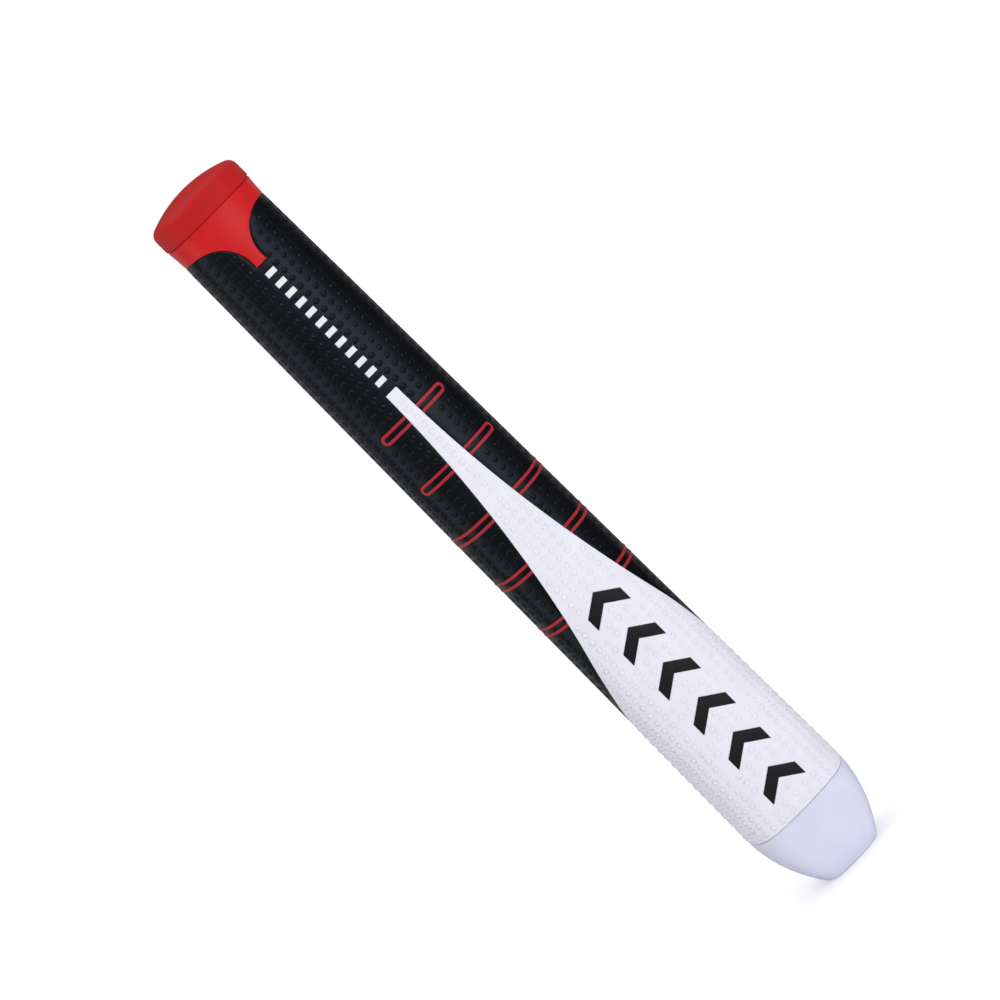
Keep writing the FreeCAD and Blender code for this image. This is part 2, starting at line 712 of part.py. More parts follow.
def write(pieces):
    os.makedirs("parts", exist_ok=True)
    for piece in pieces:
        piece.Shape.exportStep("parts/%s.step" % piece.Label)
        solids = len(piece.Shape.Solids)
        print("%-22s %d solid(s) %9.1f mm3" % (piece.Label, solids, piece.Shape.Volume))


fill_sheet()
grip = make_grip()
check(grip)
write(grip)
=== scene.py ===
import json
import math

import bmesh
import bpy
import numpy as np
from mathutils import Matrix, Vector, geometry, kdtree


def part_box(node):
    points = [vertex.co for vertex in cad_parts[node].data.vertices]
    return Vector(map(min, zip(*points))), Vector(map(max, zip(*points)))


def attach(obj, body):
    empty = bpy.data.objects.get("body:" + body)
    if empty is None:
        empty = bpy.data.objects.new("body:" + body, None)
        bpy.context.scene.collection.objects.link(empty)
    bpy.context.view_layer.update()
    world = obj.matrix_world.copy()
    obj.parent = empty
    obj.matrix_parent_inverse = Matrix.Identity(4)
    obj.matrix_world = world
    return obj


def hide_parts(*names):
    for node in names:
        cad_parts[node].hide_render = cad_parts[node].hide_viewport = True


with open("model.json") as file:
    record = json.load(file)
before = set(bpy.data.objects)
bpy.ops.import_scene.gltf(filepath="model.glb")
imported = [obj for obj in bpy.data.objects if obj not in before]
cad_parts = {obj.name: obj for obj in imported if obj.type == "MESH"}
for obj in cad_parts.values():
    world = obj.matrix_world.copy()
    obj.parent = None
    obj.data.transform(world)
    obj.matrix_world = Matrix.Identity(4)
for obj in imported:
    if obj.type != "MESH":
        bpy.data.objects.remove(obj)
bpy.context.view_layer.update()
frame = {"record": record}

# A putter grip. Its skin is laid out flat, with u round the grip and z up it. The outlines and
# the texture are drawn there, cut into triangles and wrapped back onto the grip's surface.

# Lengths are millimetres until a mesh is made.
MM = 0.001


def low_z(node):
    """Height of a CAD node's lower end."""
    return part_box(node)[0][2] / MM


def high_z(node):
    """Height of a CAD node's upper end."""
    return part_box(node)[1][2] / MM


MOUTH_SEAM = high_z("mouth_ring")
CAP_SEAM = high_z("foam_core")
APEX = high_z("butt_cap")
PLUG_END = low_z("butt_cap")
TONGUE_END = low_z("red_collar")
PANEL_TIP = high_z("white_panel")
BORE = next(m for m in frame["record"]["mounts"] if m["name"] == "shaft_bore")["dims"]["r_mm"]

AROUND = 100.0  # width of the skin laid out flat: u runs from -50 to 50, 0 at the front
HALF = AROUND / 2
SKIN = 1.3  # its thickness over the foam
INLAY = 0.5  # depth of the pockets for the loops and marks

# ------------------------------------------------------------------ the grip's surface


class Section:
    """The outline at one seam: crowns at the front, sides and back, and corners between."""

    def __init__(self, width, front, back, crowns, corners):
        crown_f, crown_s, crown_b = crowns
        self.arcs = []
        centre_f, centre_b = (0, crown_f - front), (0, back - crown_b)
        centre_s = (width - crown_s, 0)
        low = self.corner(centre_f, crown_f, centre_s, crown_s, corners[0], -1)
        high = self.corner(centre_b, crown_b, centre_s, crown_s, corners[1], 1)
        turns = [-math.pi / 2]
        meetings = ((low, centre_f), (low, centre_s), (high, centre_s), (high, centre_b))
        for corner, centre in meetings:
            turns.append(math.atan2(corner[1] - centre[1], corner[0] - centre[0]))
        turns.append(math.pi / 2)
        centres = (centre_f, low, centre_s, high, centre_b)
        radii = (crown_f, corners[0], crown_s, corners[1], crown_b)
        for i in range(5):
            self.arcs.append((*centres[i], radii[i], turns[i], turns[i + 1]))
        self.lengths = np.array([r * (b - a) for _, _, r, a, b in self.arcs])

    @staticmethod
    def corner(crown, crown_r, side, side_r, radius, sign):
        """Centre of the arc that touches a crown and the side crown from inside."""
        a, b = crown_r - radius, side_r - radius
        d = math.hypot(side[0], crown[1])
        along = (a * a - b * b + d * d) / (2 * d)
        off = math.sqrt(a * a - along * along)
        ux, uy = side[0] / d, -crown[1] / d
        pair = [(along * ux - k * off * uy, crown[1] + along * uy + k * off * ux) for k in (1, -1)]
        return max(pair, key=lambda p: p[0] + sign * p[1])

    def at(self, share, stops):
        """Points and normals at a share of the way round, negative to the left."""
        mirror, share = np.sign(share), np.abs(share)
        index = np.clip(np.searchsorted(stops, share, side="right") - 1, 0, 4)
        arcs = np.array(self.arcs)[index]
        within = (share - stops[index]) / (stops[index + 1] - stops[index])
        angle = arcs[:, 3] + within * (arcs[:, 4] - arcs[:, 3])
        normal = np.stack([np.cos(angle), np.sin(angle)], 1)
        point = arcs[:, :2] + normal * arcs[:, 2:3]
        mirror = np.where(mirror == 0, 1, mirror)
        point[:, 0] *= mirror
        normal[:, 0] *= mirror
        return point, normal


MOUTH = Section(18.0, 16.9, 17.3, (42.0, 27.0, 23.0), (9.5, 13.0))
NECK = Section(14.97, 14.4, 14.6, (25.0, 18.5, 17.0), (10.5, 12.5))
SHARES = (MOUTH.lengths / MOUTH.lengths.sum() + NECK.lengths / NECK.lengths.sum()) / 4
STOPS = np.concatenate([[0], np.cumsum(SHARES)])
STOPS[-1] = 0.5


def girth(z):
    """Distance round the grip at a height."""
    part = (np.asarray(z) - MOUTH_SEAM) / (CAP_SEAM - MOUTH_SEAM)
    return 2 * (MOUTH.lengths.sum() * (1 - part) + NECK.lengths.sum() * part)


def surface(u, z, lift=0.0):
    """Points on the grip at unrolled places, lifted along the normal."""
    u, z = np.asarray(u, float), np.asarray(z, float)
    share = np.clip(u / AROUND, -0.5, 0.5)
    mouth, normal_m = MOUTH.at(share, STOPS)
    neck, normal_n = NECK.at(share, STOPS)
    part = ((z - MOUTH_SEAM) / (CAP_SEAM - MOUTH_SEAM))[:, None]
    flat = normal_m * (1 - part) + normal_n * part
    flat /= np.linalg.norm(flat, axis=1)[:, None]
    rise = ((mouth - neck) * flat).sum(1) / (CAP_SEAM - MOUTH_SEAM)
    normal = np.column_stack([flat, rise])
    normal /= np.linalg.norm(normal, axis=1)[:, None]
    place = np.column_stack([mouth * (1 - part) + neck * part, z])
    return place + normal * np.broadcast_to(lift, z.shape)[:, None]


ROUND = np.linspace(0, HALF, 2001)


def u_at(value, z, axis):
    """The unrolled place on the right half where x (axis 0) or y (axis 1) has a value."""
    line = surface(ROUND, np.full_like(ROUND, z))[:, axis]
    last = int(np.argmax(line)) + 1
    return float(np.interp(value, line[:last], ROUND[:last]))


# ------------------------------------------------------------------ outlines on the skin


def arc_through(a, b, c, count):
    """Points on the circle through three places, from a to c."""
    (ax, ay), (bx, by), (cx, cy) = a, b, c
    d = 2 * (ax * (by - cy) + bx * (cy - ay) + cx * (ay - by))
    sa, sb, sc = ax * ax + ay * ay, bx * bx + by * by, cx * cx + cy * cy
    x = (sa * (by - cy) + sb * (cy - ay) + sc * (ay - by)) / d
    y = (sa * (cx - bx) + sb * (ax - cx) + sc * (bx - ax)) / d
    turns = np.unwrap([math.atan2(q - y, p - x) for p, q in (a, b, c)])
    angles = np.linspace(turns[0], turns[2], count)
    radius = math.hypot(ax - x, ay - y)
    return np.column_stack([x + radius * np.cos(angles), y + radius * np.sin(angles)])


TIP_HALF = 2.0  # half the width of the panel's tip
SHOULDER = (13.5, 97.0)  # (x, z) where the panel's front edge turns onto the side
FLAME_SWEEP = 400.0  # radius of that front edge
SIDE, BACK = (-1.0, 74.5), (16.5, 59.0)  # (y, z) on the edge round the side
FLAME_STEPS, SIDE_STEPS = 150, 90


def panel_edge():
    """The right-hand edge of the white panel: down the flame, round the side, to the back."""
    dx, dz = SHOULDER[0] - TIP_HALF, SHOULDER[1] - PANEL_TIP
    chord = math.hypot(dx, dz)
    sag = FLAME_SWEEP - math.sqrt(FLAME_SWEEP**2 - chord**2 / 4)
    middle = (TIP_HALF + dx / 2 + sag * dz / chord, PANEL_TIP + dz / 2 - sag * dx / chord)
    flame = arc_through((TIP_HALF, PANEL_TIP), middle, SHOULDER, FLAME_STEPS)
    edge = [(u_at(x, z, 0), z) for x, z in flame]
    depth = surface([edge[-1][0]], [SHOULDER[1]])[0][1]
    for y, z in arc_through((depth, SHOULDER[1]), SIDE, BACK, SIDE_STEPS)[1:-1]:
        edge.append((u_at(y, z, 1), z))
    edge.append((HALF, BACK[1]))
    return np.array(edge)


COLLAR_EDGE = 251.8
COLLAR_SWEEP = 11.0  # radius where the tongue widens into the collar
TONGUE_HALF = 1.85
TONGUE_STEPS, SWEEP_STEPS, BAND_STEPS = 6, 24, 50


def collar_edge():
    """The right-hand edge of the red collar: up the tongue, out in a sweep, to the back."""
    angles = np.linspace(math.pi, math.pi / 2, SWEEP_STEPS)
    far, low = TONGUE_HALF + COLLAR_SWEEP, COLLAR_EDGE - COLLAR_SWEEP
    edge = [(TONGUE_HALF, z) for z in np.linspace(TONGUE_END, low, TONGUE_STEPS)[:-1]]
    sweep = [(far + COLLAR_SWEEP * math.cos(a), low + COLLAR_SWEEP * math.sin(a)) for a in angles]
    edge = [(u_at(x, z, 0), z) for x, z in edge + sweep]
    edge += [(u, COLLAR_EDGE) for u in np.linspace(edge[-1][0], HALF, BAND_STEPS)[1:]]
    return np.array(edge)


PANEL_EDGE, COLLAR_LINE = panel_edge(), collar_edge()

LOOP_TOP, LOOP_PITCH, LOOPS = 179.5, 17.74, 5
LOOP_OUTER, LOOP_LINE = 1.65, 0.9  # half the height of a loop, and the width of its line
LOOP_INNER = LOOP_OUTER - LOOP_LINE
LOOP_HEIGHTS = [LOOP_TOP - LOOP_PITCH * i for i in range(LOOPS)]
# Where each loop's straight part ends: at an x on the front (axis 0) or a y on the side (1).
LOOP_ENDS = [(10.4, 0), (12.6, 0), (1.0, 1), (4.0, 1), (6.5, 1)]
LOOP_REACH = [u_at(end, z, axis) for (end, axis), z in zip(LOOP_ENDS, LOOP_HEIGHTS)]

TICKS, TICK_HALF, TICK_RISE = 12, 1.65, 1.7
TICK_LOW, TICK_HIGH = low_z("white_index_marks"), high_z("white_index_marks")
TICK_STARTS = np.linspace(TICK_LOW, TICK_HIGH - TICK_RISE, TICKS)

CHEVRONS, CHEVRON_HALF, CHEVRON_RISE, CHEVRON_ARM = 6, 6.4, 4.6, 4.4
CHEVRON_LOW, CHEVRON_HIGH = low_z("black_index_marks"), high_z("black_index_marks")
CHEVRON_STARTS = np.linspace(CHEVRON_LOW, CHEVRON_HIGH - CHEVRON_RISE - CHEVRON_ARM, CHEVRONS)


def stretch(z):
    """How much wider a length is once laid out flat, at a height."""
    return AROUND / girth(z)


def panel_reach(z):
    """How far round the panel's edge is at a height."""
    return np.interp(-z, -PANEL_EDGE[:, 1], PANEL_EDGE[:, 0])


LOOP_END_STEPS = 12


def loop_edge(reach, z, radius):
    """The right half of a loop's inner or outer edge, out from the panel and round its end."""
    k = stretch(z)
    turns = np.linspace(-math.pi / 2, math.pi / 2, LOOP_END_STEPS + 1)
    end = [(reach + radius * math.cos(a) * k, z + radius * math.sin(a)) for a in turns]
    low, high = z - radius, z + radius
    return np.array([(panel_reach(low), low), *end, (panel_reach(high), high)])


def spread_out(line, gap, closed=False):
    """Adds points to a line of straight stretches so that none is longer than gap."""
    points = []
    stretches = list(zip(line, np.roll(line, -1, 0))) if closed else list(zip(line[:-1], line[1:]))
    for a, b in stretches:
        count = max(1, math.ceil(np.linalg.norm(b - a) / gap))
        points += [a + (b - a) * i / count for i in range(count)]
    if not closed:
        points.append(line[-1])
    return np.array(points)


def in_panel(u, z):
    """Which places lie below the panel's edge."""
    limit = np.interp(np.abs(u), PANEL_EDGE[:, 0], PANEL_EDGE[:, 1], left=PANEL_TIP)
    return z < limit


def in_collar(u, z):
    """Which places lie above the collar's edge."""
    limit = np.interp(np.abs(u), COLLAR_LINE[:, 0], COLLAR_LINE[:, 1], left=TONGUE_END)
    return z > limit


def in_loop(u, z, number, radius):
    """Which places lie within a distance of a loop's middle line."""
    height = LOOP_HEIGHTS[number]
    beyond = np.maximum(np.abs(u) - LOOP_REACH[number], 0) / stretch(height)
    return np.hypot(beyond, z - height) < radius


def chevron(start):
    """The six corners of a chevron that points up the grip."""
    foot = [(-CHEVRON_HALF, start), (0, start + CHEVRON_RISE), (CHEVRON_HALF, start)]
    both = foot + [(x, z + CHEVRON_ARM) for x, z in reversed(foot)]
    return np.array([(math.copysign(u_at(abs(x), z, 0), x) if x else 0.0, z) for x, z in both])


def tick(start):
    """The four corners of a bar."""
    corners = [(-1, start), (1, start), (1, start + TICK_RISE), (-1, start + TICK_RISE)]
    return np.array([(side * u_at(TICK_HALF, z, 0), z) for side, z in corners])


CHEVRON_SHAPES = [chevron(start) for start in CHEVRON_STARTS]
TICK_SHAPES = [tick(start) for start in TICK_STARTS]


def inside(shape, u, z):
    """Which places lie inside a closed shape."""
    hit = np.zeros(len(u), bool)
    for (x0, z0), (x1, z1) in zip(shape, np.roll(shape, -1, 0)):
        if z0 != z1:
            crosses = (z0 > z) != (z1 > z)
            hit ^= crosses & (u < (x1 - x0) * (z - z0) / (z1 - z0) + x0)
    return hit


# Regions of the skin, which also name the kinds of outline. SEAM is the skin's top and bottom.
SEAM, BLACK, PANEL, COLLAR, TICK, CHEVRON, LOOP = -1, 0, 1, 2, 3, 4, 10


def region(u, z):
    """Which piece each place on the skin belongs to; loop n is LOOP + n."""
    found = np.full(len(u), BLACK)
    for number in range(LOOPS):
        line = in_loop(u, z, number, LOOP_OUTER) & ~in_loop(u, z, number, LOOP_INNER)
        found[line] = LOOP + number
    for shape in TICK_SHAPES:
        found[inside(shape, u, z)] = TICK
    found[in_panel(u, z)] = PANEL
    for shape in CHEVRON_SHAPES:
        found[inside(shape, u, z)] = CHEVRON
    found[in_collar(u, z)] = COLLAR
    return found


# ------------------------------------------------------------------ the skin's mesh layout

SIDES = 12  # corners of a texture dish


class Texture:
    """A grid of round dishes: rows round the whole grip, and their spacing up it.

    The rows can part at the front, by a share of a row on each side, and lean to the left
    as they climb.
    """

    def __init__(self, rows, pitch, radius, parting=0.0, lean=0.0):
        self.rows, self.pitch, self.radius = rows, pitch, radius
        self.parting, self.lean = parting, lean

    def across(self, row, z):
        """Where a row runs at a height."""
        parted = row + math.copysign(self.parting, row)
        return parted * AROUND / self.rows - self.lean * (z - MOUTH_SEAM)


BLACK_TEXTURE = Texture(29, 3.05, 1.1, parting=0.22, lean=0.0042)
WHITE_TEXTURE = Texture(32, 2.95, 1.12)
WHITE_START = 2.1  # from the mouth seam to the first white column
LOOP_COLUMNS = 6  # columns of the black texture from one loop to the next
SEAM_ROOM = 2.2  # between the texture and the seam down the back
WHITE_CLEAR, LOOP_CLEAR, BLACK_CLEAR = 0.3, 0.45, 0.12  # between a dish and an outline
# The white texture is shallow along the middle of the front and deep at the sides.
FADE_AT, FADE = (6, 20), (0.75, 1.4)

EDGE_GAP, SEAM_GAP = 0.6, 0.8  # longest gap between an outline's points
# Extra points that keep the triangles even: (distance from an outline, every how many points).
BESIDE, BESIDE_LOOP = [(0.35, 1), (0.8, 2)], [(0.3, 1)]
GRID_U, GRID_Z, GRID_SHIFT, GRID_EDGE, GRID_ROOM = 2.2, 2.1, 0.4, 1.7, 1.1
BACK_LINES, BACK_GAP, BACK_ROOM = (0.4, 0.9), 1.0, 0.5  # rows of points beside the back seam
END_CLEAR, BACK_CLEAR = 0.25, 0.3  # extra points keep this far from the layout's own borders
ROOM_SHARE, ROOM_MOST = 0.85, 0.45  # how much of their distance extra points keep to others
CELL = 0.22  # nearest two extra points may be, and nearest to a dish
MERGE = 1e-5  # points closer than this become one
ON_BORDER, DECIMALS = 1e-4, 4  # how the left and right borders' points are matched


def columns():
    """Heights of the texture's columns, each with the region it belongs to."""
    step = LOOP_PITCH / LOOP_COLUMNS
    top = LOOP_HEIGHTS[0] + step / 2
    found = [(z, BLACK) for z in np.arange(top, BACK[1], -step)]
    pitch = BLACK_TEXTURE.pitch
    found += [(z, BLACK) for z in np.arange(top + pitch, COLLAR_EDGE, pitch)]
    start = MOUTH_SEAM + WHITE_START
    found += [(z, PANEL) for z in np.arange(start, PANEL_TIP, WHITE_TEXTURE.pitch)]
    return found


def outlines():
    """Every outline on the skin as (kind, points, whether it closes on itself)."""
    # The panel's edge has a corner wherever a loop's line meets it.
    reaches = (-LOOP_OUTER, -LOOP_INNER, LOOP_INNER, LOOP_OUTER)
    met = np.array([z + reach for z in LOOP_HEIGHTS for reach in reaches])
    panel = np.vstack([PANEL_EDGE, np.column_stack([panel_reach(met), met])])
    panel = panel[np.lexsort((panel[:, 0], -panel[:, 1]))]
    made = []
    for kind, edge in ((PANEL, panel), (COLLAR, COLLAR_LINE)):
        whole = np.vstack([edge[::-1] * (-1, 1), edge])
        made.append((kind, spread_out(whole, EDGE_GAP), False))
    for reach, z in zip(LOOP_REACH, LOOP_HEIGHTS):
        for radius in (LOOP_OUTER, LOOP_INNER):
            right = loop_edge(reach, z, radius)
            for line in (right, right * (-1, 1)):
                made.append((LOOP, spread_out(line, EDGE_GAP), False))
    for kind, shapes in ((TICK, TICK_SHAPES), (CHEVRON, CHEVRON_SHAPES)):
        made += [(kind, spread_out(shape, EDGE_GAP, True), True) for shape in shapes]
    for z in (MOUTH_SEAM, CAP_SEAM):
        line = np.array([(-HALF, z), (HALF, z)])
        made.append((SEAM, spread_out(line, SEAM_GAP), False))
    return made


def nearest(tree, points):
    """Distance from each place to the nearest in a tree, and which it is."""
    found = [tree.find((x, y, 0)) for x, y in points]
    return np.array([f[2] for f in found]), np.array([f[1] for f in found], int)


def tree_of(points):
    """A search tree over flat places."""
    tree = kdtree.KDTree(len(points))
    for i, (x, y) in enumerate(points):
        tree.insert((x, y, 0), i)
    tree.balance()
    return tree


class Layout:
    """The unrolled skin cut into triangles along its outlines and round its texture."""

    def __init__(self):
        self.lines = outlines()
        self.rim = np.vstack([points for _, points, _ in self.lines])
        counts = [len(points) for _, points, _ in self.lines]
        self.rim_kind = np.repeat([kind for kind, _, _ in self.lines], counts)
        self.rim_tree = tree_of(self.rim)
        self.place_dishes()
        self.triangulate()

    def place_dishes(self):
        """Keeps the texture's dishes that are clear of every outline."""
        spots = []
        for z, home in columns():
            texture = WHITE_TEXTURE if home == PANEL else BLACK_TEXTURE
            half = texture.rows // 2
            for row in range(-half, half + 1):
                u = texture.across(row, z)
                if (row or home == PANEL) and abs(u) < HALF - SEAM_ROOM:
                    spots.append((u, z, home))
        spots = np.array(spots)
        u, z, home = spots.T
        keep = region(u, z) == home
        gap, kind = nearest(self.rim_tree, spots[:, :2])
        kind = self.rim_kind[kind]
        radius = np.where(home == PANEL, WHITE_TEXTURE.radius, BLACK_TEXTURE.radius)
        black_clear = np.where(kind == LOOP, LOOP_CLEAR, BLACK_CLEAR)
        keep &= gap > radius + np.where(home == PANEL, WHITE_CLEAR, black_clear)
        strength = np.where(home == PANEL, np.interp(np.abs(u), FADE_AT, FADE), 1)
        self.dishes, self.dish_home = spots[keep][:, :2], home[keep]
        self.radius, self.strength = radius[keep], strength[keep]

    def ring(self, share):
        """The corners of a circle in each dish, at a share of its radius."""
        turns = np.arange(SIDES) * 2 * math.pi / SIDES
        reach = self.radius[:, None] * share
        u = self.dishes[:, :1] + reach * np.cos(turns) * stretch(self.dishes[:, 1:])
        z = self.dishes[:, 1:] + reach * np.sin(turns)
        return np.stack([u, z], 2)

    def loose(self):
        """Places between the outlines and the texture that keep the triangles even."""
        spots = []
        for kind, points, closed in self.lines:
            ahead, behind = np.roll(points, -1, 0), np.roll(points, 1, 0)
            if not closed:
                ahead[-1], behind[0] = points[-1], points[0]
            along = ahead - behind
            normal = np.column_stack([-along[:, 1], along[:, 0]])
            normal /= np.linalg.norm(normal, axis=1)[:, None]
            for offset, step in BESIDE + (BESIDE_LOOP if kind == LOOP else []):
                for side in (-1, 1):
                    moved = points[::step] + normal[::step] * offset * side
                    spots.append((moved, ROOM_SHARE * offset))
        grid = [
            (u + GRID_SHIFT * (i % 2), z)
            for i, z in enumerate(np.arange(MOUTH_SEAM + 1, CAP_SEAM, GRID_Z))
            for u in np.arange(-HALF + GRID_EDGE, HALF - GRID_EDGE, GRID_U)
        ]
        spots.append((np.array(grid), GRID_ROOM))
        z = np.arange(MOUTH_SEAM + 1, CAP_SEAM, BACK_GAP)
        for apart in BACK_LINES:
            for side in (-1, 1):
                u = np.full_like(z, side * (HALF - apart))
                spots.append((np.column_stack([u, z]), BACK_ROOM))
        kept = np.empty((0, 2))
        dish_tree = tree_of(self.dishes)
        for points, room in spots:
            u, z = points.T
            inner = (z > MOUTH_SEAM + END_CLEAR) & (z < CAP_SEAM - END_CLEAR)
            points = points[inner & (np.abs(u) < HALF - BACK_CLEAR)]
            ok = nearest(self.rim_tree, points)[0] > room
            apart, dish = nearest(dish_tree, points)
            ok &= apart > self.radius[dish] + CELL
            points = points[ok]
            if len(kept) and len(points):
                points = points[nearest(tree_of(kept), points)[0] > min(room, ROOM_MOST)]
            chosen, cells = [], set()
            for x, y in points:
                cell = (round(x / CELL), round(y / CELL))
                if cell not in cells:
                    cells.add(cell)
                    chosen.append((x, y))
            if chosen:
                kept = np.vstack([kept, chosen])
        return kept

    def triangulate(self):
        """Cuts the skin into triangles, and gives each one outside the dishes its region."""
        points, edges = [], []

        def add(line, closed):
            first = len(points)
            points.extend(map(tuple, line))
            edges.extend((first + i, first + i + 1) for i in range(len(line) - 1))
            if closed:
                edges.append((first + len(line) - 1, first))

        for _, line, closed in self.lines:
            add(line, closed)
        heights = [MOUTH_SEAM, BACK[1], COLLAR_EDGE, CAP_SEAM]
        border = np.concatenate(
            [np.linspace(a, b, round(b - a) + 1)[:-1] for a, b in zip(heights, heights[1:])]
        )
        border = np.append(border, CAP_SEAM)
        for side in (-HALF, HALF):
            add(np.column_stack([np.full_like(border, side), border]), False)
        first_dish = len(points)
        for corners in self.ring(1.0):
            add(corners, True)
        points.extend(map(tuple, self.loose()))
        vectors = [Vector(p) for p in points]
        cut = geometry.delaunay_2d_cdt(vectors, edges, [], 0, MERGE, True)
        spots, _, faces, sources = cut[:4]
        spots = np.array([(s.x, s.y) for s in spots])
        number = {}
        for new, old in enumerate(sources):
            number.update((o, new) for o in old)
        # The left and right borders are one line on the grip.
        same = np.arange(len(spots))
        left = {}
        for i, (u, z) in enumerate(spots):
            if abs(u + HALF) < ON_BORDER:
                left[round(z, DECIMALS)] = i
        for i, (u, z) in enumerate(spots):
            if abs(u - HALF) < ON_BORDER:
                same[i] = left[round(z, DECIMALS)]
        faces = np.array(faces)
        middle = spots[faces].mean(1)
        _, dish = nearest(tree_of(self.dishes), middle)
        across, along = (middle - self.dishes[dish]).T
        apart = np.hypot(across / stretch(middle[:, 1]), along)
        in_dish = apart < self.radius[dish] * math.cos(math.pi / SIDES)
        self.spots, self.same = spots, same
        self.faces, self.code = faces[~in_dish], region(*middle[~in_dish].T)
        self.corners = np.array(
            [
                [number[first_dish + SIDES * i + j] for j in range(SIDES)]
                for i in range(len(self.dishes))
            ]
        )


LAYOUT = Layout()

# ------------------------------------------------------------------ meshes and pieces


def new_piece(name, verts, faces, nodes, material, smooth_angle=72, normals=None):
    """A closed mesh from millimetre points, which rides on the grip and replaces CAD nodes."""
    mesh = bpy.data.meshes.new(name)
    mesh.from_pydata((np.asarray(verts) * MM).tolist(), [], [list(map(int, f)) for f in faces])
    bm = bmesh.new()
    bm.from_mesh(mesh)
    bmesh.ops.recalc_face_normals(bm, faces=bm.faces)
    bm.to_mesh(mesh)
    bm.free()
    mesh.polygons.foreach_set("use_smooth", [True] * len(mesh.polygons))
    mesh.set_sharp_from_angle(angle=math.radians(smooth_angle))
    if normals is not None:
        corners = np.empty(len(mesh.loops), int)
        mesh.loops.foreach_get("vertex_index", corners)
        mesh.normals_split_custom_set(normals[corners].tolist())
    mesh.materials.append(material)
    obj = bpy.data.objects.new(name, mesh)
    bpy.context.collection.objects.link(obj)
    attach(obj, "root")
    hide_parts(*nodes)
    return obj


RIM_GAP, _ = nearest(LAYOUT.rim_tree, LAYOUT.spots)

# The dishes' profiles: (share of the radius, height of the surface there).
BLACK_DISH = ((0.88, -0.18), (0.69, -0.19), (0.45, -0.02), (0.0, 0.05))
WHITE_DISH = ((0.88, -0.2), (0.68, -0.2), (0.42, 0.12), (0.0, 0.24))
RINGS = {share: LAYOUT.ring(share) for share, _ in BLACK_DISH + WHITE_DISH if share}

DIP_AT = (0, 0.35, 0.8)  # distances from an outline where the skin's dip beside it changes
BACK_GROOVE_AT, BACK_GROOVE = (0, 0.4, 0.9), (-0.2, -0.05, 0)  # the seam down the back
CALM = 0.9  # from here on the skin is flat between its dishes


def edge_lift(spots, kinds):
    """How far the skin dips beside outlines, by kind: (depth at the outline, depth near it)."""
    gap, which = nearest(LAYOUT.rim_tree, spots)
    kind = LAYOUT.rim_kind[which]
    lift = np.zeros(len(spots))
    for code, (deep, shallow) in kinds.items():
        dip = np.interp(gap, DIP_AT, (-deep, -shallow, 0))
        lift = np.where(kind == code, dip, lift)
    groove = np.interp(HALF - np.abs(spots[:, 0]), BACK_GROOVE_AT, BACK_GROOVE)
    return np.minimum(lift, groove)


def skin_piece(name, nodes, material, home, levels, floor=-SKIN, dish=None):
    """A closed piece of skin.

    levels gives, for each region code that the piece takes up, its lift at every place.
    Walls join faces of different lifts, and the outer rim to the floor. dish is the profile of
    the texture's dishes in the home region.
    """
    picked = np.isin(LAYOUT.code, list(levels))
    faces, codes = LAYOUT.same[LAYOUT.faces[picked]], LAYOUT.code[picked]
    verts, index = [], {}

    def vert(place, level):
        key = (place, level)
        if key not in index:
            index[key] = len(verts)
            lift = floor if level == "floor" else levels[level][place]
            verts.append((*LAYOUT.spots[place], lift))
        return index[key]

    # Regions that share one lift count as one level.
    level_of = {code: min(c for c in levels if levels[c] is levels[code]) for code in levels}
    made, sides = [], {}
    for face, code in zip(faces.tolist(), codes.tolist()):
        level = level_of[code]
        made.append([vert(p, level) for p in face])
        made.append([vert(p, "floor") for p in reversed(face)])
        for a, b in zip(face, face[1:] + face[:1]):
            sides.setdefault((min(a, b), max(a, b)), []).append((a, b, level))
    homes = np.nonzero(LAYOUT.dish_home == home)[0] if dish else []
    for i in homes:
        ring = LAYOUT.corners[i].tolist()
        made.append([vert(p, "floor") for p in reversed(ring)])
        outer = [vert(p, home) for p in ring]
        for a, b in zip(ring, ring[1:] + ring[:1]):
            sides.setdefault((min(a, b), max(a, b)), []).append((a, b, home))
        for share, height in dish:
            height = height * LAYOUT.strength[i]
            if share:
                inner = []
                for u, z in RINGS[share][i]:
                    inner.append(len(verts))
                    verts.append((u, z, height))
                for j in range(SIDES):
                    k = (j + 1) % SIDES
                    made.append([outer[j], outer[k], inner[k], inner[j]])
                outer = inner
            else:
                verts.append((*LAYOUT.dishes[i], height))
                made += [[outer[j], outer[(j + 1) % SIDES], len(verts) - 1] for j in range(SIDES)]

    def upright(place, top, bottom):
        """The corners down a wall's side, with the level that lies between its ends, if any."""
        between = []
        if bottom == "floor":
            here = [level for level in sorted(set(level_of.values())) if (place, level) in index]
            between = [level for level in here if levels[level][place] < levels[top][place]]
        return [vert(place, level) for level in (top, *between, bottom)]

    for users in sides.values():
        a, b, level = users[0]
        below = "floor" if len(users) == 1 else users[1][2]
        if level != below:
            made.append(upright(a, level, below) + upright(b, level, below)[::-1])
    table = np.array(verts)
    place = surface(table[:, 0], table[:, 1], table[:, 2])
    # Between the dishes the skin keeps the grip's own smooth normals, so dishes have crisp rims.
    normals = surface(table[:, 0], table[:, 1], 1.0) - surface(table[:, 0], table[:, 1], 0.0)
    calm = np.zeros(len(verts), bool)
    for (spot, level), i in index.items():
        calm[i] = level == home and RIM_GAP[spot] > CALM
    normals[~calm] = 0
    return new_piece(name, place, made, nodes, material, normals=normals)


WHEEL = 192  # points round a smooth piece
TURN = np.arange(WHEEL) * AROUND / WHEEL - HALF


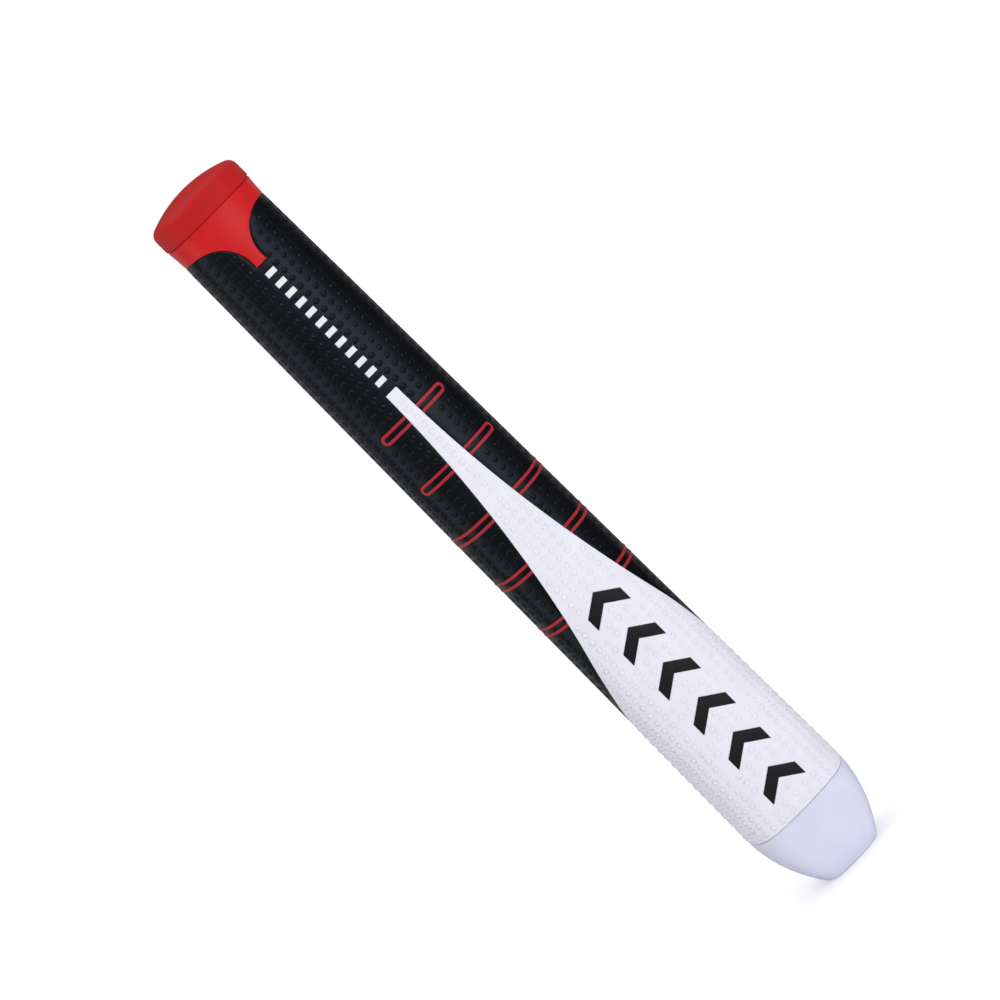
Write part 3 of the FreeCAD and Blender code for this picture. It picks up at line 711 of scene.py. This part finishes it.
def flat_ring(z, section_z, inset=0.0, share=1.0):
    """The grip's outline at one height, drawn in by an inset or to a share of its size."""
    points = surface(TURN, np.full(WHEEL, section_z))
    _, normal = (MOUTH if section_z == MOUTH_SEAM else NECK).at(TURN / AROUND, STOPS)
    flat = points[:, :2] * share - normal * inset
    return np.column_stack([flat, np.full(WHEEL, z)])


def circle(z, radius):
    """A round ring whose points face the outline's points."""
    points = surface(TURN, np.full(WHEEL, MOUTH_SEAM))
    angle = np.arctan2(points[:, 1], points[:, 0])
    return np.column_stack([radius * np.cos(angle), radius * np.sin(angle), np.full(WHEEL, z)])


def wheel_piece(name, rings, nodes, material, smooth_angle=35):
    """A piece whose skin runs from ring to ring, and from the last back to the first."""
    faces = []
    for a in range(len(rings)):
        b = (a + 1) % len(rings)
        for i in range(WHEEL):
            j = (i + 1) % WHEEL
            faces.append([a * WHEEL + i, a * WHEEL + j, b * WHEEL + j, b * WHEEL + i])
    return new_piece(name, np.vstack(rings), faces, nodes, material, smooth_angle)


# The nose's sizes as shares of the section at its seam, at four heights.
NOSE_HEIGHTS, NOSE_SHARES = (MOUTH_SEAM, 15.3, 8.2, 0.0), (1.0, 0.94, 0.806, 0.55)
nose_share = np.polynomial.Polynomial.fit(NOSE_HEIGHTS, NOSE_SHARES, 3)
NOSE_START = 1.0  # from the seam to the first ring of that curve
RIM_HIGH, RIM_WIDE = 0.9, 1.1  # the rounding at the nose's end
# Small roundings, as (distance along the grip from the end, distance in from the side).
NOSE_LIP = ((0, 0.6), (0.08, 0.34), (0.2, 0.12), (0.45, 0))
BORE_LIP = ((0, 0.4), (0.1, 0.12), (0.4, 0))
CAP_LIP = ((0, 0.4), (0.1, 0.2), (0.22, 0.06), (0.4, 0))
VENT_ROUND, VENT_LIP = 0.25, ((0.1, 0.06), (0.35, 0))
SPIGOT_R, SPIGOT_END = 11.5, low_z("foam_core")
PLUG_R, PLUG_CHAMFER = 9.0, 0.4
CORE_GAP = 0.02  # between the foam and the skin, so that they never share a surface
CAP_OVERHANG, CAP_CROWN, CAP_CORNER, VENT = 0.7, 38.2, 3.0, 1.2
# How many rings a stretch of each shape takes.
NOSE_STEPS, RIM_STEPS, CORE_STEPS = 34, 9, 40
CAP_SIDE_STEPS, CAP_CORNER_STEPS, CAP_TOP_STEPS = 4, 9, 14

SPIGOT = [circle(SPIGOT_END, BORE), circle(SPIGOT_END, SPIGOT_R), circle(MOUTH_SEAM, SPIGOT_R)]


def nose_rings():
    """The nose's side from the seam, its rounded end, then up the bore and round the spigot."""
    rings = [flat_ring(MOUTH_SEAM - depth, MOUTH_SEAM, inset) for depth, inset in NOSE_LIP]
    for z in np.linspace(MOUTH_SEAM - NOSE_START, RIM_HIGH, NOSE_STEPS):
        rings.append(flat_ring(z, MOUTH_SEAM, 0, nose_share(z)))
    for part in np.linspace(0, 1, RIM_STEPS)[1:]:
        rest = (1 - part) ** 2
        share = rest * nose_share(RIM_HIGH) + (1 - rest) * nose_share(0)
        rings.append(flat_ring(rest * RIM_HIGH, MOUTH_SEAM, RIM_WIDE * part**2, share))
    rings += [circle(z, BORE + out) for z, out in BORE_LIP]
    return rings + SPIGOT


def core_rings():
    """Round the spigot, up under the skin, then round the seat of the cap's plug."""
    rings = list(SPIGOT)
    for z in np.linspace(MOUTH_SEAM, CAP_SEAM, CORE_STEPS):
        inner = surface(TURN, np.full(WHEEL, z), -SKIN - CORE_GAP)
        rings.append(np.column_stack([inner[:, :2], np.full(WHEEL, z)]))
    rings += [circle(CAP_SEAM, PLUG_R), circle(PLUG_END, PLUG_R), circle(PLUG_END, BORE)]
    return rings


def cap_rings():
    """The cap's side, rounded corner and domed top, then down the vent and round the plug."""
    side = flat_ring(CAP_SEAM, CAP_SEAM, -CAP_OVERHANG)
    flat = side[:, :2]
    centre = APEX - CAP_CROWN
    _, normal = NECK.at(TURN / AROUND, STOPS)
    fillet = flat - normal * CAP_CORNER
    reach = np.linalg.norm(fillet, axis=1)
    height = centre + np.sqrt((CAP_CROWN - CAP_CORNER) ** 2 - reach**2)
    tilt = np.arctan2(height - centre, reach)
    rings = []
    for rise, inset in CAP_LIP:
        rings.append(np.column_stack([flat - normal * inset, np.full(WHEEL, CAP_SEAM + rise)]))
    low = CAP_SEAM + CAP_LIP[-1][0]
    for part in np.linspace(0, 1, CAP_SIDE_STEPS + 1)[1:]:
        rings.append(np.column_stack([flat, low + (height - low) * part]))
    for part in np.linspace(0, 1, CAP_CORNER_STEPS)[1:]:
        out = normal * (CAP_CORNER * np.cos(tilt * part))[:, None]
        rings.append(np.column_stack([fillet + out, height + CAP_CORNER * np.sin(tilt * part)]))
    last = rings[-1][:, :2]
    centred = last / np.linalg.norm(last, axis=1)[:, None] * (VENT + VENT_ROUND)
    for part in np.linspace(0, 1, CAP_TOP_STEPS)[1:]:
        flat_now = last * (1 - part) + centred * part
        z = centre + np.sqrt(CAP_CROWN**2 - (flat_now**2).sum(1))
        rings.append(np.column_stack([flat_now, z]))
    rings += [circle(APEX - drop, VENT + out) for drop, out in VENT_LIP]
    rings += [circle(PLUG_END, VENT), circle(PLUG_END, PLUG_R - PLUG_CHAMFER)]
    return rings + [circle(PLUG_END + PLUG_CHAMFER, PLUG_R), circle(CAP_SEAM, PLUG_R)]


# ------------------------------------------------------------------ materials


def make_material(name, base, rough, **sockets):
    """A plain material. Returns it with its shader."""
    material = bpy.data.materials.new(name)
    material.use_nodes = True
    shader = material.node_tree.nodes["Principled BSDF"]
    shader.inputs["Base Color"].default_value = (*base, 1)
    shader.inputs["Roughness"].default_value = rough
    for socket, value in sockets.items():
        shader.inputs[socket.replace("_", " ")].default_value = value
    return material, shader


MOTTLE, RAMP_ENDS = 120, (0.3, 0.7)  # scale of the slow changes of colour, and their contrast
BUMP = 0.4


def rubber_material(name, dark, light, rough, grain=(9000, 0.00002), **sockets):
    """Rubber with slow changes of colour, and a fine grain in its gloss and its surface."""
    material, shader = make_material(name, light, rough[0], **sockets)
    nodes, links = material.node_tree.nodes, material.node_tree.links
    coords = nodes.new("ShaderNodeTexCoord")
    slow = nodes.new("ShaderNodeTexNoise")
    slow.inputs["Scale"].default_value = MOTTLE
    slow.inputs["Detail"].default_value = 5
    fine = nodes.new("ShaderNodeTexNoise")
    fine.inputs["Scale"].default_value = grain[0]
    fine.inputs["Detail"].default_value = 2
    for noise in (slow, fine):
        links.new(coords.outputs["Object"], noise.inputs["Vector"])
    ramp = nodes.new("ShaderNodeValToRGB")
    for end, place, colour in zip(ramp.color_ramp.elements, RAMP_ENDS, (dark, light)):
        end.position = place
        end.color = (*colour, 1)
    links.new(slow.outputs["Fac"], ramp.inputs["Fac"])
    links.new(ramp.outputs["Color"], shader.inputs["Base Color"])
    gloss = nodes.new("ShaderNodeMapRange")
    gloss.inputs["To Min"].default_value, gloss.inputs["To Max"].default_value = rough
    links.new(fine.outputs["Fac"], gloss.inputs["Value"])
    links.new(gloss.outputs["Result"], shader.inputs["Roughness"])
    bump = nodes.new("ShaderNodeBump")
    bump.inputs["Distance"].default_value = grain[1]
    bump.inputs["Strength"].default_value = BUMP
    links.new(fine.outputs["Fac"], bump.inputs["Height"])
    links.new(bump.outputs["Normal"], shader.inputs["Normal"])
    return material


M_BLACK = rubber_material(
    "black_rubber",
    (0.0056, 0.0056, 0.0066),
    (0.0070, 0.0071, 0.0086),
    (0.36, 0.46),
    IOR=1.45,
    Specular_Tint=(0.62, 0.76, 1, 1),
)
M_WHITE = rubber_material(
    "white_rubber", (0.81, 0.805, 0.905), (0.85, 0.845, 0.945), (0.42, 0.55), IOR=1.45
)
M_NOSE = rubber_material(
    "nose_rubber", (0.70, 0.703, 0.873), (0.74, 0.743, 0.912), (0.4, 0.5), IOR=1.45
)
M_COLLAR = rubber_material(
    "collar_rubber", (0.59, 0.003, 0.005), (0.65, 0.005, 0.007), (0.35, 0.5), IOR=1.36
)
M_CAP = rubber_material(
    "cap_rubber", (0.485, 0.0038, 0.0055), (0.54, 0.0055, 0.0075), (0.55, 0.7), IOR=1.33
)
M_LINES = rubber_material(
    "line_paint", (0.38, 0.012, 0.02), (0.43, 0.016, 0.026), (0.4, 0.55), IOR=1.4
)
M_TICKS = rubber_material(
    "tick_paint", (0.78, 0.78, 0.84), (0.84, 0.84, 0.9), (0.45, 0.6), IOR=1.45
)
M_CHEVRONS = rubber_material(
    "chevron_paint", (0.0085, 0.0088, 0.0145), (0.0115, 0.0118, 0.0185), (0.45, 0.6), IOR=1.45
)
M_FOAM = rubber_material(
    "core_foam", (0.05, 0.05, 0.055), (0.08, 0.08, 0.085), (0.8, 0.95), (3000, 0.0002), IOR=1.45
)

# ------------------------------------------------------------------ build the grip

# (depth at the outline, depth near it) by the kind of outline.
BLACK_DIPS = {
    COLLAR: (0.3, 0.08),
    PANEL: (0.1, 0.03),
    LOOP: (0.1, 0.03),
    TICK: (0.08, 0.02),
    SEAM: (0.25, 0.05),
}
WHITE_DIPS = {PANEL: (0.12, 0.03), CHEVRON: (0.06, 0.02), SEAM: (0.6, 0.08)}
COLLAR_DIPS = {COLLAR: (0.1, 0.02), SEAM: (0.35, 0.04)}
COLLAR_FLARE, FLARE_POWER = 0.55, 1.6  # the collar widens to meet the cap's overhang
LINE_AT, LINE_LIFT = (0, 0.3), (0.02, 0.13)  # the inlays' rounded edges and their height
MARK_AT, MARK_LIFT = (0, 0.35), (0.02, 0.1)

collar_rise = np.clip((LAYOUT.spots[:, 1] - COLLAR_EDGE) / (CAP_SEAM - COLLAR_EDGE), 0, 1)
collar_lift = edge_lift(LAYOUT.spots, COLLAR_DIPS) + COLLAR_FLARE * collar_rise**FLARE_POWER
line_lift = np.interp(RIM_GAP, LINE_AT, LINE_LIFT)
mark_lift = np.interp(RIM_GAP, MARK_AT, MARK_LIFT)
pocket = np.full(len(LAYOUT.spots), -INLAY)
black_levels = {BLACK: edge_lift(LAYOUT.spots, BLACK_DIPS), TICK: pocket}
black_levels.update({LOOP + number: pocket for number in range(LOOPS)})
white_levels = {PANEL: edge_lift(LAYOUT.spots, WHITE_DIPS), CHEVRON: pocket}

skin_piece(
    "black_skin_body",
    ["black_skin"],
    M_BLACK,
    BLACK,
    black_levels,
    dish=BLACK_DISH,
)
skin_piece(
    "white_skin_panel",
    ["white_panel"],
    M_WHITE,
    PANEL,
    white_levels,
    dish=WHITE_DISH,
)
skin_piece("collar_band", ["red_collar"], M_COLLAR, COLLAR, {COLLAR: collar_lift})
INLAYS = [
    (f"loop_line_{n + 1}", "red_lines", f"alignment_loop_{n + 1}", M_LINES, LOOP + n, line_lift)
    for n in range(LOOPS)
]
INLAYS += [
    ("white_ticks", "white_marks", "white_index_marks", M_TICKS, TICK, mark_lift),
    ("black_chevrons", "black_marks", "black_index_marks", M_CHEVRONS, CHEVRON, mark_lift),
]
for name, slot_name, node, material, code, lift in INLAYS:
    skin_piece(name, [node], material, code, {code: lift}, -INLAY)
wheel_piece("nose_ring", nose_rings(), ["mouth_ring"], M_NOSE)
wheel_piece("end_cap", cap_rings(), ["butt_cap"], M_CAP)
core = wheel_piece("foam_tube", core_rings(), ["foam_core"], M_FOAM)

# ------------------------------------------------------------------ camera, floor and light

# From here on lengths are metres.
LENS, DISTANCE = 165.8, 1.293
AZIMUTH, ELEVATION = math.radians(-4.1), math.radians(7.7)
ROLL = math.radians(45.1)
AIM_HEIGHT, AIM_SIDE = 0.1436, 0.0011

level = math.cos(ELEVATION)
# The camera's own axes, in the grip's frame: back points from the grip to the camera.
back = Vector((math.sin(AZIMUTH) * level, -math.cos(AZIMUTH) * level, math.sin(ELEVATION)))
grip_up = (Vector((0, 0, 1)) - back * back.z).normalized()
grip_right = grip_up.cross(back)
right = grip_right * math.cos(ROLL) - grip_up * math.sin(ROLL)
up = grip_right * math.sin(ROLL) + grip_up * math.cos(ROLL)
target = Vector((0, 0, AIM_HEIGHT)) + grip_right * AIM_SIDE
lens = bpy.data.cameras.new("camera")
lens.lens = LENS
lens.clip_start, lens.clip_end = 0.01, 100
camera = bpy.data.objects.new("camera", lens)
turn = Matrix((right, up, back)).transposed()
camera.matrix_world = Matrix.Translation(target + back * DISTANCE) @ turn.to_4x4()
bpy.context.collection.objects.link(camera)
bpy.context.scene.camera = camera

FLOOR_RADIUS, FLOOR_SIDES = 20, 64
FLOOR_GLOW = {"Emission_Color": (1, 1, 1, 1), "Emission_Strength": 0.25}
floor_mesh = bpy.data.meshes.new("floor")
turns = np.linspace(0, 2 * math.pi, FLOOR_SIDES + 1)[:-1]
rim = [(FLOOR_RADIUS * math.cos(a), FLOOR_RADIUS * math.sin(a), 0) for a in turns]
floor_mesh.from_pydata(rim, [], [list(range(FLOOR_SIDES))])
floor = bpy.data.objects.new("floor", floor_mesh)
paper, _ = make_material("floor_paper", (0.9, 0.9, 0.9), 0.8, **FLOOR_GLOW)
floor_mesh.materials.append(paper)
bpy.context.collection.objects.link(floor)
floor.visible_glossy = False

MIDDLE = 0.13  # the height on the grip that the lights face
LIGHT_DISTANCE, LIGHT_HEIGHT = 1.2, 0.3


def soft_light(name, degrees, size, power):
    """A soft box that faces the grip: 0 degrees is the front and positive is to the right."""
    a = math.radians(degrees)
    place = (math.sin(a) * LIGHT_DISTANCE, -math.cos(a) * LIGHT_DISTANCE, LIGHT_HEIGHT)
    data = bpy.data.lights.new(name, "AREA")
    data.shape = "RECTANGLE"
    data.size, data.size_y = size
    data.energy = power
    light = bpy.data.objects.new(name, data)
    light.location = place
    light.visible_camera = False
    aim = Vector((0, 0, MIDDLE)) - Vector(place)
    light.rotation_mode = "QUATERNION"
    light.rotation_quaternion = aim.to_track_quat("-Z", "Y")
    bpy.context.collection.objects.link(light)
    return light


soft_light("strip_right", 20, (0.45, 1.2), 4.4)
# These three only draw the soft highlights along the sides.
for name, degrees, power in (("left", -82, 2.8), ("rim_left", -150, 1.4), ("rim_right", 150, 1.0)):
    soft_light(name, degrees, (0.8, 1.2), power).visible_diffuse = False
sky = bpy.data.lights.new("overhead", "SUN")
sky.energy = 1.6
sky.angle = math.radians(80)
bpy.context.collection.objects.link(bpy.data.objects.new("overhead", sky))

world = bpy.data.worlds.new("studio")
bpy.context.scene.world = world
world.use_nodes = True
sky_node = world.node_tree.nodes["Background"]
sky_node.inputs["Color"].default_value = (1, 1, 1, 1)
world.cycles_visibility.glossy = False
# The sky lights the grip softly, and is as white as the floor where it shows beyond it.
FILL, SHOWN = 0.4, 1.0
path = world.node_tree.nodes.new("ShaderNodeLightPath")
strength = world.node_tree.nodes.new("ShaderNodeMapRange")
strength.inputs["To Min"].default_value = FILL
strength.inputs["To Max"].default_value = SHOWN
world.node_tree.links.new(path.outputs["Is Camera Ray"], strength.inputs["Value"])
world.node_tree.links.new(strength.outputs["Result"], sky_node.inputs["Strength"])
bpy.context.scene.view_settings.view_transform = "Standard"
